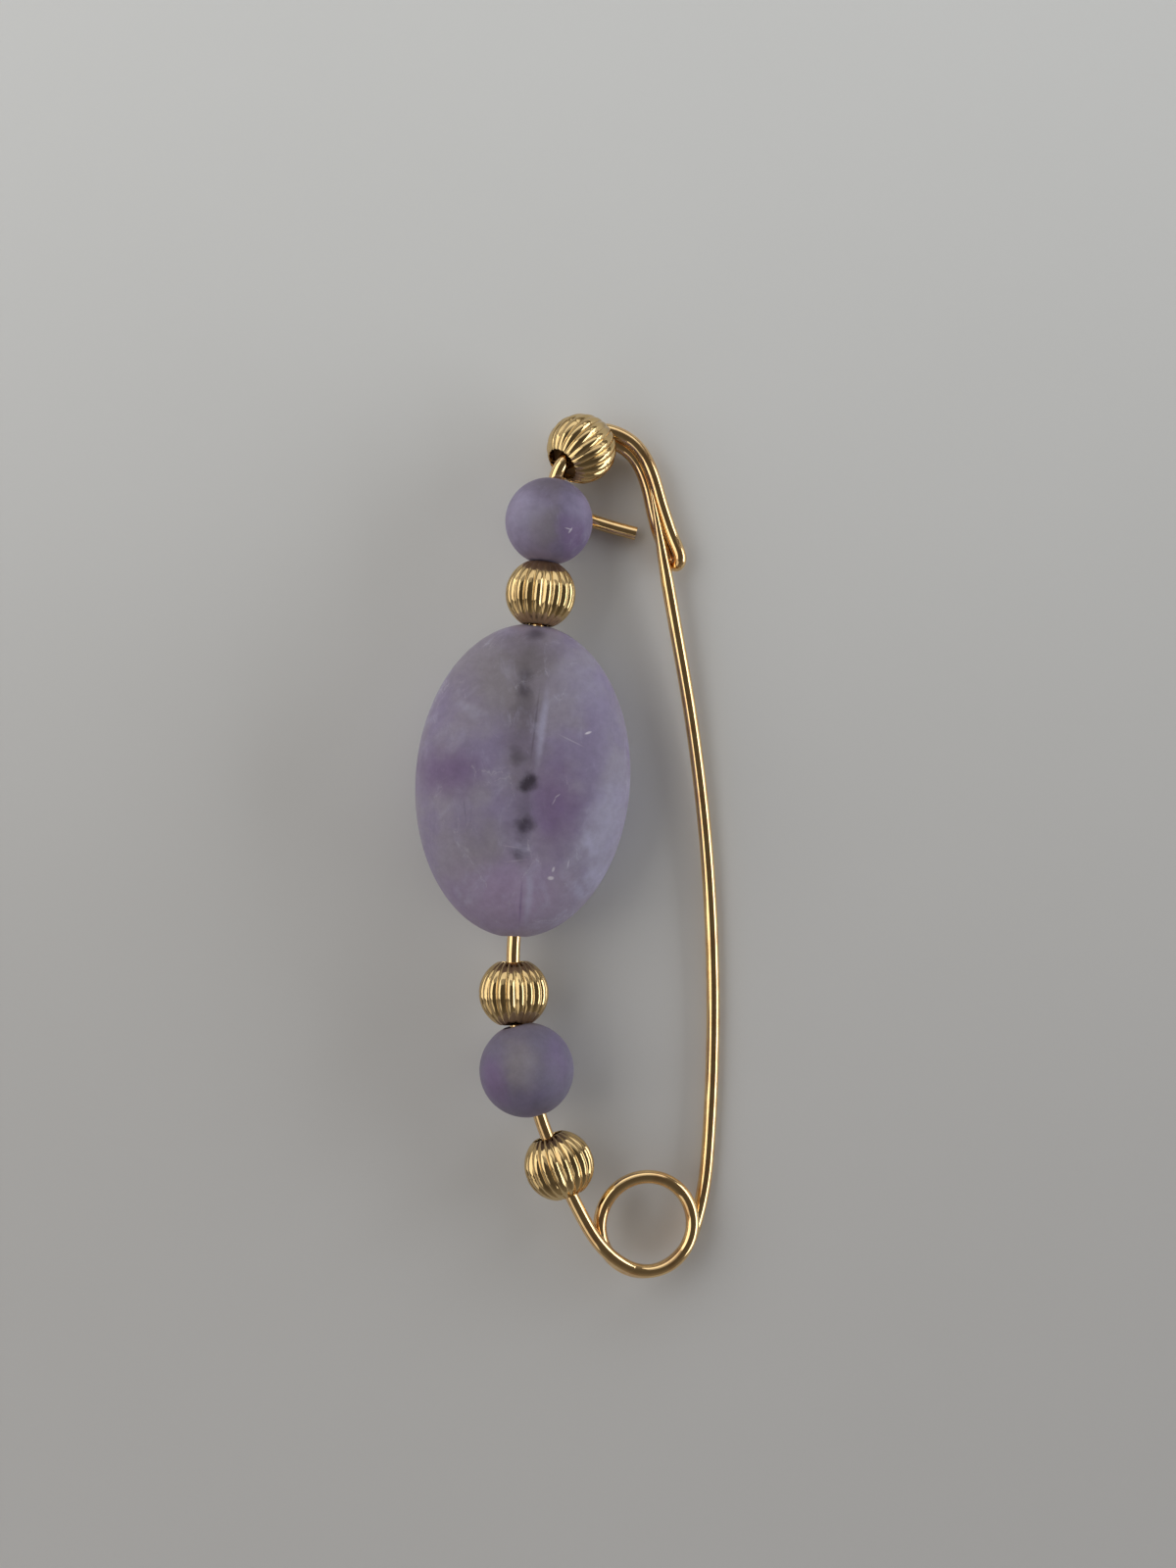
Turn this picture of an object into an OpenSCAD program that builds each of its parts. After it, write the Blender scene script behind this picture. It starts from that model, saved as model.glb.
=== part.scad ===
// Safety pin brooch, lying on a table as it comes to rest, in millimetres.
// One gold wire makes the tail, the hook, the front bar, the coil and the needle.
// Seven beads are threaded on the front bar: four ribbed gold ones, two round stones
// and one large flat oval stone.

/* [Wire] */
// Diameter of the wire
wire_d = 0.8; // [0.7:0.02:0.88]

/* [Coil] */
// Mean diameter of the coil where the front bar joins it
coil_d = 5.45; // [5.1:0.05:6.5]
// Air between the two turns where they pass each other
coil_gap = 0.12; // [0.08:0.02:0.3]
// How much further out the wire runs where the needle leaves the coil
coil_spread = 0.35; // [0.1:0.05:0.5]

/* [Needle] */
// Length of the straight end of the needle, with its point
straight_l = 11; // [9.5:0.1:13]
// Length of the tapered point
point_l = 5.6; // [4.6:0.1:6.5]
// Lean of the needle away from the bar where it leaves the coil, in degrees
root_lean = 4.5; // [3.5:0.5:7]
// Lean of the needle towards the bar at its point, in degrees
point_lean = 10.6; // [9.5:0.1:12]
// Height of the point above the plane of the coil's lower turn
point_rise = 0.26; // [0.16:0.02:0.4]

/* [Front bar] */
// Bare wire between the coil and the lowest bead
lead_l = 4.1; // [3.6:0.05:5]
// Bare wire above the lowest bead
lower_gap = 1.4; // [1:0.05:2.5]
// Bare wire below the oval stone
middle_gap = 1.4; // [1:0.05:3]
// Bare wire between the upper round stone and the bend at the top bead
neck_l = 1.39; // [1.3:0.02:1.6]

/* [Ribbed beads] */
// Diameter over the ribs
ribbed_d = 4.1; // [3.9:0.05:4.4]
// Diameter of the hole in each end
ribbed_hole_d = 1.84; // [1.76:0.02:2.1]
// Diameter of the holes of the top bead, which are opened up for two strands of wire
top_hole_d = 2.06; // [2:0.02:2.2]
// Thickness of the sheet metal
ribbed_wall = 0.3; // [0.2:0.02:0.4]
// Number of ribs
rib_count = 20; // [14:1:24]
// Depth of the grooves between the ribs
rib_depth = 0.16; // [0.08:0.01:0.22]

/* [Stone beads] */
// Diameter of the upper round stone
upper_round_d = 5.1; // [4.6:0.05:5.4]
// Diameter of the lower round stone
lower_round_d = 5.5; // [4.8:0.05:6]
// Width of the oval stone
oval_w = 12.5; // [10:0.1:14]
// Length of the oval stone, along its drilled hole
oval_l = 18.3; // [15:0.1:22]
// Thickness of the oval stone
oval_t = 6.5; // [6.2:0.1:7.5]
// Diameter of the hole drilled through the stones
drill_d = 1.2; // [1.12:0.01:1.4]
// How far the hole runs off the middle of the oval stone, towards the needle
drill_offset = 0.17; // [0:0.01:0.4]

/* [Hook] */
// Length of the hook beside the needle, from its point to the fold
hook_l = 4.25; // [3.9:0.05:5]
// How far the needle's point stays below the middle of the top bead
point_drop = 2.3; // [2.1:0.05:2.8]

/* [Tail] */
// Length of the cut wire end that shows beside the upper round stone
stub_l = 2.5; // [2:0.1:3.2]

/* [Hidden] */

// Derived sizes
wire_r = wire_d / 2;
coil_r = coil_d / 2;
bead_gap = 0.05;
fit_gap = 0.03;
gold = [0.83, 0.66, 0.36];
stone = [0.66, 0.60, 0.74];
wire_sides = 12;
curve_steps = 3;

// Length of a sphere along a hole of the given diameter through it
function drilled_l(ball_d, hole_d) = sqrt(ball_d * ball_d - hole_d * hole_d);
rim_w = 0.04;
ribbed_l = drilled_l(ribbed_d, ribbed_hole_d + 2 * rim_w);
top_bead_l = drilled_l(ribbed_d, top_hole_d + 2 * rim_w);
upper_round_l = drilled_l(upper_round_d, drill_d);
lower_round_l = drilled_l(lower_round_d, drill_d);
// How deep the end of the upper round stone sits in the mouth of the bead below it
nest_l = (upper_round_l - drilled_l(upper_round_d, ribbed_hole_d + 2 * rim_w)) / 2;

// The pin is drawn in its own plane: u across towards the needle, v along towards
// the hook, w up towards the viewer. Headings turn from v towards u, climbs towards w.
across = [1, 0, 0];
along = [0, 1, 0];
up = [0, 0, 1];
function direction(heading, climb = 0) =
    [sin(heading) * cos(climb), cos(heading) * cos(climb), sin(climb)];
function unit(a) = a / norm(a);
function sum_to(list, last) = last < 0 ? [0, 0, 0] : list[last] + sum_to(list, last - 1);

// Quadratic spline that touches the middle of each leg of a chain of corners
function smooth(corners) = [
    corners[0],
    for (i = [1 : len(corners) - 2], k = [1 : curve_steps])
        let (
            t = k / curve_steps,
            a = i == 1 ? corners[0] : (corners[i - 1] + corners[i]) / 2,
            c = i == len(corners) - 2 ? corners[i + 1] : (corners[i] + corners[i + 1]) / 2
        )
        (1 - t) * (1 - t) * a + 2 * t * (1 - t) * corners[i] + t * t * c
];

// The coil: it climbs from the needle's turn to the bar's turn, middle at [0, 0, 0]
coil_start = 245;
coil_end = 700;
coil_step = 455 / 44;
coil_pitch = wire_d + coil_gap;
function coil_point(angle) =
    let (
        share = (angle - coil_start) / (coil_end - coil_start),
        r = coil_r + coil_spread * pow(share, 3)
    )
    [r * cos(angle), r * sin(angle), coil_pitch * (coil_end - angle) / 360];

// Needle: a short tight curve off the coil, a long slack bow, then a straight point
exit_heading = 720 - coil_end;
exit_turn = exit_heading - root_lean;
exit_l = 4.8;
exit_steps = 5;
exit_r = exit_l / (exit_turn * PI / 180);
coil_exit = coil_point(coil_end);
function exit_point(share) =
    let (h = exit_heading - share * exit_turn)
    coil_exit + exit_r * [cos(h) - cos(exit_heading), sin(exit_heading) - sin(h), 0];
needle_root = exit_point(1);

// Front bar: the corners of the bent wire, from the coil up to the top bead
lead_corner = coil_r * 1.19 * [cos(212), sin(212), 0]
    + (coil_point(coil_start)[2] + 0.25 * wire_d) * up;
oval_end_l = 1.6;
lip_l = 0.704;
BAR_ROWS = [
    // length, heading, climb
    [lead_l, -28.8, -6],
    [ribbed_l + bead_gap, -20.5, -6],
    [lower_gap, -20, -5],
    [lower_round_l + bead_gap, -15, -4],
    [ribbed_l + bead_gap, -1, -2],
    [middle_gap, 3, 0],
    [oval_end_l, 4.2, 1],
    [oval_l + bead_gap - 2 * oval_end_l, 4.2, 1],
    [oval_end_l, 4.2, 1],
    [ribbed_l + bead_gap - nest_l, 5.5, 0],
    [upper_round_l + bead_gap, 8, -1],
    [neck_l, 2.2, 52.7],
    [lip_l, 40.3, -53.4],
    [top_bead_l, 52, -19],
];
BAR_STEPS = [for (row = BAR_ROWS) row[0] * direction(row[1], row[2])];
function bar_corner(i) = lead_corner + sum_to(BAR_STEPS, i - 1);
function bar_middle(i) = (bar_corner(i) + bar_corner(i + 1)) / 2;
function bar_direction(i) = unit(BAR_STEPS[i]);
lowest_row = 1;
lower_round_row = 3;
third_row = 4;
oval_row = 7;
second_row = 9;
upper_round_row = 10;
top_row = 13;
oval_middle = bar_middle(oval_row);

// Two strands share the hole of the top bead, one on each side of its axis
top_axis = bar_direction(top_row);
strand_roll = 43;
strand_side = wire_r + fit_gap;
top_side = unit(cross(top_axis, up));
top_lift = cross(top_side, top_axis);
strand_offset = strand_side * (sin(strand_roll) * top_side - cos(strand_roll) * top_lift);
top_middle = bar_middle(top_row) + strand_offset;

// Point of the needle, level with the hook whatever the length of the bar
needle_tip_v = top_middle[1] - point_drop;
bow_r = (needle_tip_v - needle_root[1] - straight_l * cos(point_lean))
    / (sin(root_lean) + sin(point_lean));
bow_end = needle_root + bow_r
    * [cos(point_lean) - cos(root_lean), sin(point_lean) + sin(root_lean), 0];
needle_axis = direction(-point_lean);
needle_side = direction(90 - point_lean);
needle_tilt = atan(point_rise / (needle_tip_v - needle_root[1]));
needle_tip = bow_end + straight_l * needle_axis + point_rise * up;

// Strands of the hook beside the needle: share of the hook's length below the point,
// then places beside and above the needle's axis in wire diameters
OUTER_STRAND = [
    [0.05, 0.60, -0.36],
    [0.22, 0.68, -0.36],
    [0.42, 0.82, -0.32],
    [0.68, 1.00, -0.22],
    [0.88, 1.22, -0.06],
    [1.00, 1.30, 0.04],
];
INNER_STRAND = [
    [0.05, 0.20, -1.28],
    [0.22, 0.18, -1.24],
    [0.42, 0.22, -1.18],
    [0.66, 0.36, -1.12],
    [0.86, 0.60, -0.98],
    [1.00, 0.72, -0.90],
];
function beside_needle(row) = needle_tip - row[0] * hook_l * needle_axis
    + row[1] * wire_d * needle_side + row[2] * wire_d * up;
outer_grip = [for (row = OUTER_STRAND) beside_needle(row)];
inner_grip = [for (row = INNER_STRAND) beside_needle(row)];

// Shoulder between the top bead and the grip: shares along and out from the chord
SHOULDER = [
    [0.20, 0.13],
    [0.40, 0.19],
    [0.60, 0.17],
    [0.80, 0.10],
];
function shoulder(from, to) =
    let (chord = to - from, out = cross(up, chord))
    [for (row = SHOULDER) from + row[0] * chord + row[1] * out];
top_mouth = top_middle + top_bead_l / 2 * top_axis;
outer_mouth = top_mouth - strand_offset;
inner_mouth = top_mouth + strand_offset;
strand_half = top_bead_l / 4 * top_axis;
strand_cut = fit_gap / 2 * top_axis;

// Fold of the hook: half a turn from the outer strand to the inner one
fold_middle = (outer_grip[5] + inner_grip[5]) / 2;
fold_side = outer_grip[5] - fold_middle;
fold_steps = 8;
fold = [
    for (k = [1 : fold_steps - 1])
        let (a = 180 * k / fold_steps)
        fold_middle + cos(a) * fold_side - sin(a) * norm(fold_side) * needle_axis
];

// Tail: through the top bead, down behind the bar and out beside the round stone
function below_top(out, side, lift) = top_middle - (top_bead_l / 2 + out) * top_axis
    + side * wire_d * top_side + lift * wire_d * top_lift;
round_middle = bar_middle(upper_round_row);
tail_reach = upper_round_d / 2 + wire_r + bead_gap;
function round_place(heading, climb, reach = 1) =
    round_middle + reach * tail_reach * direction(heading, climb);
stub_start = round_place(78.5, -43.3, 1.04);
hidden_l = upper_round_d / 2 * 0.45;
tail_corners = [
    top_middle + strand_offset - strand_cut,
    top_middle + strand_offset - 0.8 * strand_half,
    below_top(0.124, -0.3, -0.5),
    below_top(0.586, -0.01, -1.47),
    round_place(8.3, -41.2, 1.246),
    round_place(48.6, -44.6, 1.042),
    stub_start,
    stub_start + (hidden_l + stub_l) * direction(105, 16),
];

// Lying pose: the oval stone lies flat and the bow of the needle touches the table
bow_low = 4 * needle_tilt;
bow_u = needle_root[0] + bow_r * (cos(bow_low) - cos(root_lean)) - oval_middle[0];
bow_w = tan(needle_tilt) * bow_r * (sin(root_lean) - sin(bow_low)) - oval_middle[2];
lying_tilt = asin((oval_t / 2 - wire_r) / norm([bow_u, bow_w])) + atan2(bow_w, bow_u);
oval_heading = BAR_ROWS[oval_row][1];
oval_half_x = norm([oval_w / 2 * cos(oval_heading), oval_l / 2 * sin(oval_heading)])
    + drill_offset;
bow_x = bow_u * cos(lying_tilt) + bow_w * sin(lying_tilt) + wire_r;
coil_low_y = coil_point(630)[1] - oval_middle[1] - wire_r;
top_bead_y = top_middle[1] - oval_middle[1] + ribbed_d / 2;
lying_place = [(oval_half_x - bow_x) / 2, -(coil_low_y + top_bead_y) / 2, oval_t / 2];
module lying() {
    translate(lying_place) rotate([0, lying_tilt, 0]) translate(-oval_middle) children();
}

// Turns a part drawn along z so that z points the given way
module facing(way) {
    rotate([0, acos(way[2]), atan2(way[1], way[0])]) children();
}

// A round wire along a list of points, with a radius for each
function tangent(path, i) =
    unit(path[min(i + 1, len(path) - 1)] - path[max(i - 1, 0)]);
function carried(normal, way) = unit(normal - (normal * way) * way);
module wire(path, radii = []) {
    last = len(path) - 1;
    normals = [
        for (i = 0, n = carried(abs(tangent(path, 0)[2]) < 0.9 ? up : across, tangent(path, 0));
             i <= last;
             i = i + 1, n = i <= last ? carried(n, tangent(path, i)) : n)
            n
    ];
    points = [
        for (i = [0 : last], k = [0 : wire_sides - 1])
            let (
                a = 360 * k / wire_sides,
                r = len(radii) > 0 ? radii[i] : wire_r,
                side = cross(tangent(path, i), normals[i])
            )
            path[i] + r * (cos(a) * normals[i] + sin(a) * side)
    ];
    faces = [
        [for (k = [0 : wire_sides - 1]) k],
        for (i = [0 : last - 1], k = [0 : wire_sides - 1])
            let (
                a = i * wire_sides + k,
                b = i * wire_sides + (k + 1) % wire_sides
            )
            each [[a, a + wire_sides, b], [b, a + wire_sides, b + wire_sides]],
        [for (k = [wire_sides - 1 : -1 : 0]) last * wire_sides + k],
    ];
    polyhedron(points, faces);
}

// Wire through the six lower beads, up to the middle of the top bead
module front_bar() {
    coil_way = unit(coil_point(coil_start + 1) - coil_point(coil_start));
    stone_end = bar_corner(upper_round_row + 1);
    corners = [
        coil_point(coil_start) - fit_gap * coil_way,
        for (i = [0 : upper_round_row]) bar_corner(i),
        stone_end - 0.7 * bar_direction(upper_round_row),
        stone_end,
        bar_corner(top_row - 1),
        bar_middle(top_row) - strand_half,
        bar_middle(top_row) - strand_cut,
    ];
    color(gold) lying() wire(smooth(corners));
}

// Coil of one turn and a quarter, with the curve that leads to the needle.
// It stops short of the needle's round end, which leaves the needle room to turn.
module spring_coil() {
    turns = [for (a = [coil_start : coil_step : coil_end - coil_step / 2]) coil_point(a)];
    lead = [for (k = [0 : exit_steps - 1]) exit_point(k / exit_steps)];
    end = needle_root - (wire_r + fit_gap) * direction(root_lean);
    color(gold) lying() wire(concat(turns, lead, [end]));
}

// Needle: a round end on the hinge's axis, the bow and the straight point. The bow is
// a hair thinner than the wire, so its two ends sit inside the pieces that close it.
module needle() {
    point_steps = 8;
    seat = wire_r / 8;
    bow_wire_r = wire_r - 0.002;
    shaft_l = straight_l - point_l;
    profile = [
        [0, -seat],
        [wire_r, -seat],
        for (k = [0 : point_steps - 1])
            let (left = 1 - k / point_steps)
            [wire_r * pow(left, 0.6), shaft_l + point_l * (1 - left)],
        [wire_r * 0.1, straight_l],
        [0, straight_l],
    ];
    color(gold) lying() translate(needle_root) rotate([needle_tilt, 0, 0]) {
        sphere(wire_r, $fn = 32);
        translate(bow_r * [-cos(root_lean), sin(root_lean), 0])
            rotate([0, 0, -root_lean])
                rotate_extrude(angle = root_lean + point_lean, $fn = 720)
                    translate([bow_r, 0]) circle(bow_wire_r, $fn = 32);
        translate(bow_end - needle_root) facing(needle_axis)
            rotate_extrude($fn = 32) polygon(profile);
    }
}

// Hook: out of the top bead, along the needle, round the fold and back under it
module hook_catch() {
    outer_middle = top_middle - strand_offset;
    inner_middle = top_middle + strand_offset;
    outer = smooth(concat([outer_middle + strand_cut, outer_middle + strand_half, outer_mouth],
        shoulder(outer_mouth, outer_grip[0]), outer_grip));
    inner = smooth(concat([inner_middle + strand_cut, inner_middle + strand_half, inner_mouth],
        shoulder(inner_mouth, inner_grip[0]), inner_grip));
    back = [for (i = [len(inner) - 1 : -1 : 0]) inner[i]];
    color(gold) lying() wire(concat(outer, fold, back));
}

// Cut end of the wire behind the upper round stone
module wire_tail() {
    color(gold) lying() wire(smooth(tail_corners));
}

// Hollow bead of ribbed sheet metal, its hole along z: one closed loop of rings, down
// the ribbed outside, through the lower mouth, up the plain inside and out at the top
module ribbed_bead(hole_d) {
    around = rib_count * 4;
    outer_steps = 8;
    inner_steps = 2;
    ball_r = ribbed_d / 2;
    hole_r = hole_d / 2;
    inner_r = ball_r - rib_depth - ribbed_wall;
    rim_angle = asin((hole_r + rim_w) / ball_r);
    mouth_angle = asin(hole_r / inner_r);
    function groove(k) = 1 - abs(cos(k * 45));
    loop = [
        // radius, height, share of the rib depth
        for (j = [0 : outer_steps])
            let (fall = rim_angle + (180 - 2 * rim_angle) * j / outer_steps)
            [ball_r * sin(fall), ball_r * cos(fall), sin(fall) * sin(fall)],
        [hole_r, -ball_r * cos(rim_angle), 0],
        for (j = [inner_steps : -1 : 0])
            let (fall = mouth_angle + (180 - 2 * mouth_angle) * j / inner_steps)
            [inner_r * sin(fall), inner_r * cos(fall), 0],
        [hole_r, ball_r * cos(rim_angle), 0],
    ];
    points = [
        for (ring = loop, k = [0 : around - 1])
            let (a = 360 * k / around, r = ring[0] - rib_depth * groove(k) * ring[2])
            [r * cos(a), r * sin(a), ring[1]]
    ];
    faces = [
        for (j = [0 : len(loop) - 1], k = [0 : around - 1])
            let (
                a = j * around + k,
                b = j * around + (k + 1) % around,
                below = (j + 1) % len(loop) * around - j * around
            )
            each [[a, b, b + below], [a, b + below, a + below]],
    ];
    polyhedron(points, faces);
}

// Beads that are loose on the wire hang on it, so their middle lies below it. The second
// one sits on the end of the round stone, which keeps it in line with the wire.
hang = ribbed_hole_d / 2 - wire_r - fit_gap;
module strung_ribbed_bead(row, low) {
    way = bar_direction(row);
    down = carried(sin(lying_tilt) * across - cos(lying_tilt) * up, way);
    color(gold) lying() translate(bar_middle(row) + low * down) facing(way)
        ribbed_bead(ribbed_hole_d);
}
module ribbed_bead_1() {
    color(gold) lying() translate(top_middle) facing(top_axis) ribbed_bead(top_hole_d);
}
module ribbed_bead_2() { strung_ribbed_bead(second_row, 0); }
module ribbed_bead_3() { strung_ribbed_bead(third_row, hang); }
module ribbed_bead_4() { strung_ribbed_bead(lowest_row, hang); }

// Round stone drilled along the bar
module round_bead(row, ball_d) {
    color(stone) lying() translate(bar_middle(row)) facing(bar_direction(row))
        difference() {
            sphere(d = ball_d, $fn = 64);
            cylinder(h = ball_d * 2, d = drill_d, center = true, $fn = 32);
        }
}
module round_bead_upper() { round_bead(upper_round_row, upper_round_d); }
module round_bead_lower() { round_bead(lower_round_row, lower_round_d); }

// Puffed oval stone, drilled lengthwise, with a small worn flat on each face
module oval_bead() {
    around = 48;
    rings = 9;
    flat_angle = 76;
    rim_power = 0.8;
    dome_power = 0.9;
    function at(j, k) =
        let (
            rise = flat_angle * j / rings,
            a = 360 * k / around,
            out = pow(cos(abs(rise)), rim_power),
            lift = sign(rise) * pow(sin(abs(rise)) / sin(flat_angle), dome_power)
        )
        [oval_w / 2 * out * cos(a), oval_l / 2 * out * sin(a), oval_t / 2 * lift];
    points = [for (j = [-rings : rings], k = [0 : around - 1]) at(j, k)];
    faces = [
        [for (k = [0 : around - 1]) k],
        for (j = [0 : 2 * rings - 1], k = [0 : around - 1])
            let (a = j * around + k, b = j * around + (k + 1) % around)
            each [[a, a + around, b + around], [a, b + around, b]],
        [for (k = [around - 1 : -1 : 0]) 2 * rings * around + k],
    ];
    color(stone) translate(lying_place) rotate([0, 0, -oval_heading])
        difference() {
            translate([-drill_offset, 0, 0]) polyhedron(points, faces);
            rotate([90, 0, 0])
                cylinder(h = oval_l * 2, d = drill_d, center = true, $fn = 32);
        }
}

front_bar();
spring_coil();
needle();
hook_catch();
wire_tail();
ribbed_bead_1();
ribbed_bead_2();
ribbed_bead_3();
ribbed_bead_4();
round_bead_upper();
round_bead_lower();
oval_bead();
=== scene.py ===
"""Beaded safety pin brooch, lying on a pale table as it comes to rest.

One gold wire makes the front bar, the coil, the needle, the doubled hook and the cut
tail. The front bar carries ribbed gold beads, two round frosted stones and one large
oval stone. Lengths are in millimetres until a piece is laid down in the frame.
"""

from __future__ import annotations

import logging
import math
from dataclasses import dataclass
from enum import Enum
from functools import cached_property
from typing import Any

import bmesh
import bpy
from mathutils import Matrix, Vector

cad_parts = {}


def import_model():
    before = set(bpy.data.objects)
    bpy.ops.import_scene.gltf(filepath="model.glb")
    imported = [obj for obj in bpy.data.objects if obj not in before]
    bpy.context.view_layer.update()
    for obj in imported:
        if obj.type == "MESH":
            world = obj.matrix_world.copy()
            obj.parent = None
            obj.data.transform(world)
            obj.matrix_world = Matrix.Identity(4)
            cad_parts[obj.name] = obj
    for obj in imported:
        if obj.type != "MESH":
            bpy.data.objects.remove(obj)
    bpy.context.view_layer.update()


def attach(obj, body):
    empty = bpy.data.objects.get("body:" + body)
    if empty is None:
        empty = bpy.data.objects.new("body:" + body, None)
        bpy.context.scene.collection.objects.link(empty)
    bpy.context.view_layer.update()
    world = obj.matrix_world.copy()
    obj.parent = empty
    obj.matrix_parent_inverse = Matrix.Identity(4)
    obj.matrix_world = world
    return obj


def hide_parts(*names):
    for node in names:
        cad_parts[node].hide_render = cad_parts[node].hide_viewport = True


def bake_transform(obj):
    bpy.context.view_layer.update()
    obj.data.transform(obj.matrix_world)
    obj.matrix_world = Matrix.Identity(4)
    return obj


LOG = logging.getLogger("brooch")
MM = 0.001
UP = Vector((0, 0, 1))

Colour = tuple[float, float, float, float]


class Body(Enum):
    """The two bodies of the frame."""

    BAR = "bar"
    NEEDLE = "needle"


class Slot(Enum):
    """The record's material slots."""

    WIRE = "gold_wire"
    RIBBED = "ribbed_gold"
    ROUND = "round_stone"
    OVAL = "oval_stone"


# Geometry helpers


def way_of(heading: float, climb: float = 0.0) -> Vector:
    """Gives the unit vector of a heading towards the needle's side and a climb, in degrees."""
    turn, rise = math.radians(heading), math.radians(climb)
    flat = math.cos(rise)
    return Vector((math.sin(turn) * flat, math.cos(turn) * flat, math.sin(rise)))


def through_hole(ball_d: float, hole_d: float) -> float:
    """Gives the length of a ball along a hole through its middle."""
    return math.sqrt(ball_d * ball_d - hole_d * hole_d)


def smooth_chain(corners: list[Vector], steps: int = 16) -> list[Vector]:
    """Draws a quadratic spline that touches the middle of each leg of a chain of corners."""
    points = [corners[0].copy()]
    last = len(corners) - 2
    for i in range(1, last + 1):
        start = corners[0] if i == 1 else (corners[i - 1] + corners[i]) / 2
        end = corners[-1] if i == last else (corners[i] + corners[i + 1]) / 2
        for k in range(1, steps + 1):
            t = k / steps
            points.append(start * (1 - t) ** 2 + corners[i] * (2 * t * (1 - t)) + end * t * t)
    return points


def even_path(points: list[Vector], spacing: float, passes: int = 8) -> list[Vector]:
    """Spaces a path's points evenly and eases the jumps in its curvature.

    Args:
        points: The path, its points at any distance from each other.
        spacing: Distance between the new points.
        passes: Smoothing passes, which leave the two ends where they are.

    Returns:
        The new points.
    """
    reach = [0.0]
    for a, b in zip(points, points[1:]):
        reach.append(reach[-1] + (b - a).length)
    count = max(4, round(reach[-1] / spacing))
    path, leg = [], 0
    for k in range(count + 1):
        at = reach[-1] * k / count
        while leg < len(points) - 2 and reach[leg + 1] < at:
            leg += 1
        share = (at - reach[leg]) / max(reach[leg + 1] - reach[leg], 1e-9)
        path.append(points[leg].lerp(points[leg + 1], share))
    for _ in range(passes):
        path = [
            path[0],
            *[(a + b * 2 + c) / 4 for a, b, c in zip(path, path[1:], path[2:])],
            path[-1],
        ]
    return path


def ball_arc(radius: float, first: float, steps: int) -> list[tuple[float, float]]:
    """Gives radii and heights of a ball's outline from its top mouth to the lower one."""
    falls = [first + (math.pi - 2 * first) * k / steps for k in range(steps + 1)]
    return [(radius * math.sin(fall), radius * math.cos(fall)) for fall in falls]


def facing(way: Vector) -> Matrix:
    """Gives the turn that takes the Z axis to a direction."""
    return Matrix.Rotation(math.atan2(way.y, way.x), 4, "Z") @ Matrix.Rotation(
        math.acos(way.z), 4, "Y"
    )


@dataclass(frozen=True)
class BarRow:
    """One stretch of the front bar: its length and which way it runs."""

    length: float
    heading: float
    climb: float

    @property
    def step(self) -> Vector:
        """The vector from the stretch's lower end to its upper one."""
        return way_of(self.heading, self.climb) * self.length


class Row(Enum):
    """Places of the beads in the chain of the front bar."""

    LOWEST = 1
    LOWER_ROUND = 3
    THIRD = 4
    OVAL = 7
    SECOND = 9
    UPPER_ROUND = 10
    TOP = 13


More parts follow.
